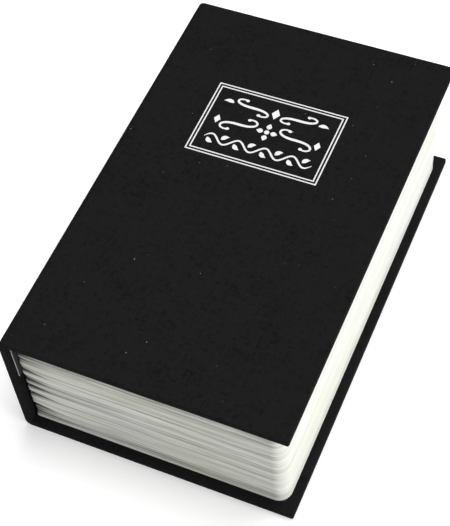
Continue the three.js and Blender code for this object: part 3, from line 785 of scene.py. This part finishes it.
def moulded_wall():
    """The moulding as a solid, column by column round its outline."""
    outline = block_outline()
    along = 0
    columns = []
    for i, (point, outward, notch) in enumerate(outline):
        along += (point - outline[i - 1][0]).length if i else 0
        columns.append([
            point - outward * (depth + edge_inset(level)) + Vector((0, 0, block_low.z + level))
            for depth, level in zip(column_depths(outward, notch, along), block_levels)
        ])
    count, levels = len(columns), len(block_levels)
    points = [column[level] for level in range(levels) for column in columns]
    faces = [
        (level * count + i, level * count + (i + 1) % count,
         (level + 1) * count + (i + 1) % count, (level + 1) * count + i)
        for level in range(levels - 1) for i in range(count)
    ]
    faces += [tuple(reversed(range(count))), tuple(range((levels - 1) * count, levels * count))]
    return made("page_moulding", points, faces, "page_moulding")


def recess(point):
    """How far a point of the moulding's wall is drawn in; nothing inside the moulding."""
    radius = block_spine_radius if point.x < 0 else block_fore_radius
    from_sides = min(point.x - block_low.x, block_high.x - point.x)
    from_ends = block_high.y - abs(point.y)
    if from_sides < radius and from_ends < radius:
        depth = radius - math.hypot(radius - from_sides, radius - from_ends)
    else:
        depth = min(from_sides, from_ends)
    depth -= edge_inset(max(0, min(block_height, point.z - block_low.z)))
    return max(0, depth) if depth < deepest_recess else 0


def crate(x0, x1, y0, y1, z0, z1):
    """Points and faces of a closed box."""
    points = [(x, y, z) for z in (z0, z1) for x, y in ((x0, y0), (x1, y0), (x1, y1), (x0, y1))]
    faces = [(3, 2, 1, 0), (4, 5, 6, 7)] + [(i, (i + 1) % 4, (i + 1) % 4 + 4, i + 4) for i in range(4)]
    return points, faces


def upright_round(x, y, radius, z0, z1):
    """Points and faces of a closed upright cylinder."""
    sides = 48
    turns = [2 * math.pi * i / sides for i in range(sides)]
    points = [(x + radius * math.cos(t), y + radius * math.sin(t), z) for z in (z0, z1) for t in turns]
    faces = [(i, (i + 1) % sides, (i + 1) % sides + sides, i + sides) for i in range(sides)]
    return points, faces + [tuple(reversed(range(sides))), tuple(range(sides, 2 * sides))]


def page_block():
    block = moulded_wall()
    inner = block_low + Vector((block_wall, block_wall, block_floor))
    outer = block_high - Vector((block_wall, block_wall, -block_edge_radius))
    combined(block, "DIFFERENCE", *crate(inner.x, outer.x, inner.y, outer.y, inner.z, outer.z))
    tray_low, tray_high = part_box("safe_tray")
    leaf_low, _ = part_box("tray_hinge_leaf")
    gap = 0.3 * mm
    rib_half = 0.8 * mm
    rib_pitch = 36 * mm
    screw_hole_radius = 1.8 * mm
    low, high = block_low.z + block_floor / 2, leaf_low.z - mm
    root = block_wall / 2
    for i in range(-2, 3):
        y0, y1 = i * rib_pitch - rib_half, i * rib_pitch + rib_half
        combined(block, "UNION", *crate(inner.x - root, tray_low.x - gap, y0, y1, low, high))
        combined(block, "UNION", *crate(tray_high.x + gap, outer.x + root, y0, y1, low, high))
    for i in range(-1, 2):
        x0 = (tray_low.x + tray_high.x) / 2 + i * rib_pitch - rib_half
        x1 = x0 + 2 * rib_half
        combined(block, "UNION", *crate(x0, x1, inner.y - root, tray_low.y - gap, low, high))
        combined(block, "UNION", *crate(x0, x1, tray_high.y + gap, outer.y + root, low, high))
    for number in range(1, 5):
        screw_low, screw_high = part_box(f"box_screw_{number}")
        middle = (screw_low + screw_high) / 2
        hole = upright_round(middle.x, middle.y, screw_hole_radius, -mm, tray_low.z + mm)
        combined(block, "DIFFERENCE", *hole)
    smoothed(block.data, 50)
    # Painted shade: each point keeps how deep it is drawn in, as the Recess attribute, and the page_moulding
    # finish darkens its colour by that depth
    shade = block.data.attributes.new("Recess", "FLOAT", "POINT")
    for vertex in block.data.vertices:
        shade.data[vertex.index].value = recess(vertex.co) / deepest_recess
    placed(block, "case", "page_moulding", "page_block")


page_block()


# Endpapers: the front one shows the turned-in cloth under it, and its cut edges are light
def front_endpaper():
    low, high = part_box("front_endpaper")
    window_y = book_high.y - turn_in_width
    window_x = book_high.x - turn_in_width
    soft = 1.4 * mm
    ripple_height, ripples_per_metre = 0.04 * mm, 60

    def rows_past(start, window, end):
        """Places from start to end, closer together where the paper steps down at a window's edge."""
        inside = stations(start, window - soft, station_pitch)
        step = stations(window - soft / 2, window + soft, soft / 4)
        return inside + step + stations(window + 2 * soft, end, station_pitch)

    xs = rows_past(low.x, window_x, high.x)
    half = rows_past(0, window_y, high.y)
    ys = [-y for y in reversed(half)][:-1] + half
    plan = [(x, y) for x in xs for y in ys]
    faces = grid_faces(len(xs), len(ys))

    def height(x, y):
        reach = max(0, min(1, min(window_x - x, window_y - abs(y)) / soft + 0.5))
        ripple = ripple_height * noise.noise(Vector((x * ripples_per_metre, y * ripples_per_metre, 3.5)))
        return cloth_thickness * reach * reach * (3 - 2 * reach) + max(0, ripple)

    layers = [[(x, y, low.z + height(x, y) + lift) for x, y in plan] for lift in (0, paper_thickness)]
    paper = made("front_paper", *closed_sheet(layers, faces), "endpaper")
    second_finish(paper, "paper_core", lambda normal: abs(normal.z) < 0.3)
    placed(paper, "front_cover", "endpaper", "front_endpaper")


def joint_paper():
    """The bend of the endpaper from the strip inside the spine to the front cover."""
    low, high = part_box("joint_paper")
    half = paper_thickness / 2
    reach_x = high.x - low.x - half
    reach_z = high.z - low.z - half
    steps = 12
    ys = stations(low.y, high.y, station_pitch)
    layers = []
    for side in (-1, 1):
        layer = []
        for i in range(steps + 1):
            turn = math.pi / 2 * i / steps
            x = high.x - (reach_x + side * half * (1 - i / steps)) * math.cos(turn)
            z = low.z + (reach_z + side * half * i / steps) * math.sin(turn)
            layer += [(x, y, z) for y in ys]
        layers.append(layer)
    faces = grid_faces(steps + 1, len(ys))
    paper = made("joint_paper_bend", *closed_sheet(layers, faces), "endpaper")
    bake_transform(paper)
    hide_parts("joint_paper")


front_endpaper()
joint_paper()


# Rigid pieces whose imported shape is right: the same shape, with its hard edges softened
def refined(node, slot, body, edge):
    angle = 35
    weld_distance = 0.001 * mm
    mesh = nodes[node].data.copy()
    work = bmesh.new()
    work.from_mesh(mesh)
    bmesh.ops.remove_doubles(work, verts=work.verts, dist=weld_distance)
    bmesh.ops.dissolve_limit(work, angle_limit=math.radians(1), verts=work.verts, edges=work.edges)
    hard = [e for e in work.edges if len(e.link_faces) == 2 and e.calc_face_angle() > math.radians(angle)]
    bmesh.ops.bevel(
        work, geom=hard, offset=edge, offset_type="OFFSET", segments=2, profile=0.5, affect="EDGES",
        clamp_overlap=True,
    )
    work.to_mesh(mesh)
    work.free()
    smoothed(mesh, angle)
    mesh.materials.clear()
    mesh.materials.append(finishes[slot])
    piece = shown(node + "_finished", mesh)
    placed(piece, body, slot, node)
    return piece


bodies = frame["record"]["behaviour"]["bodies"]
body_of = {node: body for body, members in bodies.items() for node in members}
slot_of = {part["node"]: part["material_slot"] for part in frame["record"]["subparts"]}

# How wide each piece's edges are softened, in millimetres
edge_sizes = {
    "spine_guard": 0.08, "back_endpaper": 0.05, "safe_tray": 0.15, "tray_hinge_leaf": 0.12,
    "hinge_pin": 0.1, "strike_plate": 0.2, "tray_liner": 0.35, "box_lid": 0.15, "lid_hinge_leaf": 0.12,
    "lock_body": 0.12, "lock_nut": 0.25, "lock_plug": 0.1, "lock_stop_washer": 0.1, "lock_cam": 0.2,
    "lock_cam_screw": 0.12, "box_screw_1": 0.08, "box_screw_2": 0.08, "box_screw_3": 0.08,
    "box_screw_4": 0.08,
}
for node, edge in edge_sizes.items():
    piece = refined(node, slot_of[node], body_of[node], edge * mm)
    if node == "spine_guard":
        second_finish(piece, "paper_core", lambda normal: abs(normal.y) > 0.9 or normal.z < -0.9)


# The foil stamped on the front cover: a double-rule frame round three rows of scrolls and leaves
foil_thickness = 0.08 * mm
frame_x0, frame_x1 = -29.3 * mm, 25.2 * mm
frame_y0, frame_y1 = 15.2 * mm, 51.1 * mm
rule_width = 0.52 * mm
rule_pitch = 1.35 * mm
row_pitch = 9.7 * mm
row_height = 7.6 * mm
stroke_width = 1.0 * mm
least_stroke = 0.02 * mm


class Stamp:
    """Flat shapes gathered in plan, and made into one thin closed piece."""

    def __init__(self):
        self.points = []
        self.faces = []

    def add(self, points, faces):
        first = len(self.points)
        self.points += points
        self.faces += [tuple(first + k for k in face) for face in faces]

    def rule(self, inset):
        corners = []
        for grown in (inset, inset + rule_width):
            x0, x1, y0, y1 = frame_x0 + grown, frame_x1 - grown, frame_y0 + grown, frame_y1 - grown
            corners += [Vector((x0, y0)), Vector((x1, y0)), Vector((x1, y1)), Vector((x0, y1))]
        self.add(corners, [(i, (i + 1) % 4, (i + 1) % 4 + 4, i + 4) for i in range(4)])

    def stroke(self, path, widths):
        """A ribbon along a path, with its own width at each point."""
        sides = []
        for i, (point, width) in enumerate(zip(path, widths)):
            ahead = path[min(i + 1, len(path) - 1)] - path[max(i - 1, 0)]
            across = Vector((-ahead.y, ahead.x)).normalized() * max(width, least_stroke) / 2
            sides += [point + across, point - across]
        self.add(sides, [(2 * i, 2 * i + 1, 2 * i + 3, 2 * i + 2) for i in range(len(path) - 1)])

    def leaf(self, root, angle, length, width, bend):
        steps, fullness = 14, 0.8
        ahead = Vector((math.cos(angle), math.sin(angle)))
        across = Vector((-ahead.y, ahead.x))
        shares = [i / steps for i in range(steps + 1)]
        path = [root + ahead * length * s + across * length * bend * math.sin(math.pi * s) for s in shares]
        self.stroke(path, [width * math.sin(math.pi * s ** fullness) for s in shares])

    def dot(self, centre, radius):
        steps = 12
        shares = [-math.cos(math.pi * i / steps) for i in range(steps + 1)]
        path = [centre + Vector((radius * s, 0)) for s in shares]
        self.stroke(path, [2 * radius * math.sqrt(max(0, 1 - s * s)) for s in shares])

    def lozenge(self, centre, width, height):
        path = [centre + Vector((x, 0)) for x in (-width / 2, 0, width / 2)]
        self.stroke(path, [0, height, 0])

    def quatrefoil(self, centre, size):
        dot_radius, leaf_start = 0.13 * size, 0.2
        leaf_length, leaf_width = 0.36 * size, 0.28 * size
        self.dot(centre, dot_radius)
        for quarter in range(4):
            angle = math.pi / 2 * quarter
            root = centre + Vector((math.cos(angle), math.sin(angle))) * leaf_start * size
            self.leaf(root, angle, leaf_length, leaf_width, bend=0)

    def scroll(self, centre, width, height, mirror):
        """An S whose curve tightens evenly towards both ends, with a ball at each."""
        steps = 72
        turn = 1.45 * math.pi
        places = [2 * i / steps - 1 for i in range(steps + 1)]
        path = [Vector((0, 0))]
        for a, b in zip(places, places[1:]):
            angle = turn * ((a + b) / 2) ** 2
            path.append(path[-1] + Vector((math.cos(angle), math.sin(angle))))
        xs, ys = [p.x for p in path], [p.y for p in path]
        middle = Vector(((min(xs) + max(xs)) / 2, (min(ys) + max(ys)) / 2))
        scale = Vector((mirror * width / (max(xs) - min(xs)), height / (max(ys) - min(ys))))
        path = [centre + Vector(((p.x - middle.x) * scale.x, (p.y - middle.y) * scale.y)) for p in path]
        self.stroke(path, [self.scroll_width(place) for place in places])

    def scroll_width(self, place):
        """A scroll's width at a place from -1 to 1 along it: a stem that thins towards round ends."""
        ball_length, ball_size = 0.13, 1.35 * stroke_width
        thinnest, swelling, taper = 0.55, 0.6, 0.8
        stem = stroke_width * (thinnest + swelling * (1 - abs(place)) ** taper)
        from_tip = (1 - abs(place)) / ball_length
        if from_tip >= 1:
            return stem
        ball = ball_size * math.sqrt(max(0, 1 - (2 * from_tip - 1) ** 2))
        return max(ball, stem if from_tip > 0.5 else 0)

    def vine(self, centre, width, bays):
        """A waving stem with a leaf in each bend."""
        steps = 14 * bays
        pitch = width / bays
        rise, leaf_rise = 0.26 * row_height, 0.02 * row_height
        stem_width, end_width, end_growth = 0.75 * stroke_width, 0.25, 14
        leaf_start, leaf_angle, leaf_bend = 0.28, math.radians(38), 0.16
        leaf_length, leaf_width = 0.62 * pitch, 0.34 * pitch
        places = [i / steps for i in range(steps + 1)]
        path = [centre + Vector(((s - 0.5) * width, rise * math.sin(math.pi * bays * s))) for s in places]
        self.stroke(path, [stem_width * min(1, end_growth * min(s, 1 - s) + end_width) for s in places])
        for bay in range(bays):
            up = 1 if bay % 2 else -1
            root = centre + Vector(((bay + leaf_start) * pitch - width / 2, up * leaf_rise))
            self.leaf(root, up * leaf_angle, leaf_length, leaf_width, bend=up * leaf_bend)


def foil_stamp():
    stamp = Stamp()
    stamp.rule(0)
    stamp.rule(rule_pitch)
    middle = Vector(((frame_x0 + frame_x1) / 2, (frame_y0 + frame_y1) / 2))
    upper = middle + Vector((0, row_pitch))
    lower = middle - Vector((0, row_pitch))
    stamp.lozenge(upper, width=3.4 * mm, height=5.4 * mm)
    stamp.quatrefoil(middle, size=7.8 * mm)
    for side in (-1, 1):
        outward = 0 if side > 0 else math.pi
        upper_scroll = upper + Vector((side * 9.7 * mm, 0))
        upper_leaf = upper + Vector((side * 17.8 * mm, 0))
        middle_scroll = middle + Vector((side * 11.9 * mm, 0))
        middle_lozenge = middle + Vector((side * 21 * mm, 0))
        stamp.scroll(upper_scroll, width=13.8 * mm, height=0.8 * row_height, mirror=side)
        stamp.leaf(upper_leaf, outward, length=4.4 * mm, width=1.7 * mm, bend=0.14 * side)
        stamp.scroll(middle_scroll, width=14 * mm, height=row_height, mirror=-side)
        stamp.lozenge(middle_lozenge, width=2.7 * mm, height=4.3 * mm)
    stamp.vine(lower, width=45 * mm, bays=8)
    top = book_high.z
    layers = [[(p.x, p.y, z) for p in stamp.points] for z in (top, top - foil_thickness)]
    foil_piece = made("foil_stamp", *closed_sheet(layers, stamp.faces), "foil")
    placed(foil_piece, "front_cover", "foil")


foil_stamp()

# The photographed view: the camera stands off the tail end and the fore edge, above the book
camera_place = Vector((0.14907, -0.29157, 0.48329))
camera_azimuth = math.radians(28.46)
camera_elevation = math.radians(54.86)
camera_roll = math.radians(-6.5)
camera_lens = 97
sensor_width = 36


def photographed_view():
    data = bpy.data.cameras.new("camera")
    data.lens = camera_lens
    data.sensor_fit = "AUTO"
    data.sensor_width = sensor_width
    data.clip_start = 0.01
    camera = bpy.data.objects.new("camera", data)
    back = Vector((
        math.sin(camera_azimuth) * math.cos(camera_elevation),
        -math.cos(camera_azimuth) * math.cos(camera_elevation),
        math.sin(camera_elevation),
    ))
    level = Vector((0, 0, 1)).cross(back).normalized()
    upright = back.cross(level)
    right = level * math.cos(camera_roll) + upright * math.sin(camera_roll)
    up = back.cross(right)
    camera.matrix_world = Matrix.Translation(camera_place) @ Matrix((right, up, back)).transposed().to_4x4()
    bpy.context.scene.collection.objects.link(camera)
    bpy.context.scene.camera = camera


def studio_floor():
    """A pale floor. What the camera sees of it is lifted towards white, and keeps a soft shadow."""
    reach = 3.0
    plain, seen_colour, seen_glow = grey(0.78), grey(0.95), 0.17
    corners = [(-reach, -reach, 0), (reach, -reach, 0), (reach, reach, 0), (-reach, reach, 0)]
    mesh = bpy.data.meshes.new("floor")
    mesh.from_pydata(corners, [], [(0, 1, 2, 3)])
    floor = bpy.data.objects.new("floor", mesh)
    finish = Finish("floor", Roughness=0.95, Specular_IOR_Level=0.1)
    path = finish.add("LightPath")
    seen = finish.math("MAXIMUM", path.outputs["Is Camera Ray"], path.outputs["Is Glossy Ray"])
    finish.coat(Base_Color=finish.between(seen, plain, seen_colour))
    glow = finish.add("Emission", Color=grey(1.0), Strength=finish.math("MULTIPLY", seen, seen_glow))
    both = finish.given(finish.add("AddShader"), finish.surface.outputs[0], glow.outputs[0])
    finish.put(finish.tree.nodes["Material Output"], Surface=both)
    mesh.materials.append(finish.material)
    bpy.context.scene.collection.objects.link(floor)


def soft_light(name, azimuth, elevation, spread, strength):
    """A broad far light, from an azimuth off +X towards +Y and an elevation, in degrees."""
    data = bpy.data.lights.new(name, "SUN")
    data.angle = math.radians(spread)
    data.energy = strength
    lamp = bpy.data.objects.new(name, data)
    turn, rise = math.radians(azimuth), math.radians(elevation)
    source = Vector((math.cos(turn) * math.cos(rise), math.sin(turn) * math.cos(rise), math.sin(rise)))
    lamp.rotation_euler = source.to_track_quat("Z", "Y").to_euler()
    bpy.context.scene.collection.objects.link(lamp)


def studio():
    """A white backdrop that fills the shadows, and three broad lights."""
    fill_strength, seen_strength = 0.44, 1.0
    world = bpy.data.worlds.new("studio")
    bpy.context.scene.world = world
    world.use_nodes = True
    tree = world.node_tree
    background = tree.nodes["Background"]
    background.inputs["Color"].default_value = (1, 1, 1, 1)
    path = tree.nodes.new("ShaderNodeLightPath")
    strength = tree.nodes.new("ShaderNodeMapRange")
    tree.links.new(path.outputs["Is Camera Ray"], strength.inputs["Value"])
    strength.inputs["To Min"].default_value = fill_strength
    strength.inputs["To Max"].default_value = seen_strength
    tree.links.new(strength.outputs[0], background.inputs["Strength"])
    soft_light("fore_side", azimuth=-4, elevation=15, spread=40, strength=2.4)
    soft_light("above_head", azimuth=75, elevation=70, spread=35, strength=1.5)
    soft_light("above_tail", azimuth=-80, elevation=76, spread=50, strength=0.4)


photographed_view()
studio_floor()
studio()

view = bpy.context.scene.view_settings
view.view_transform = "Standard"
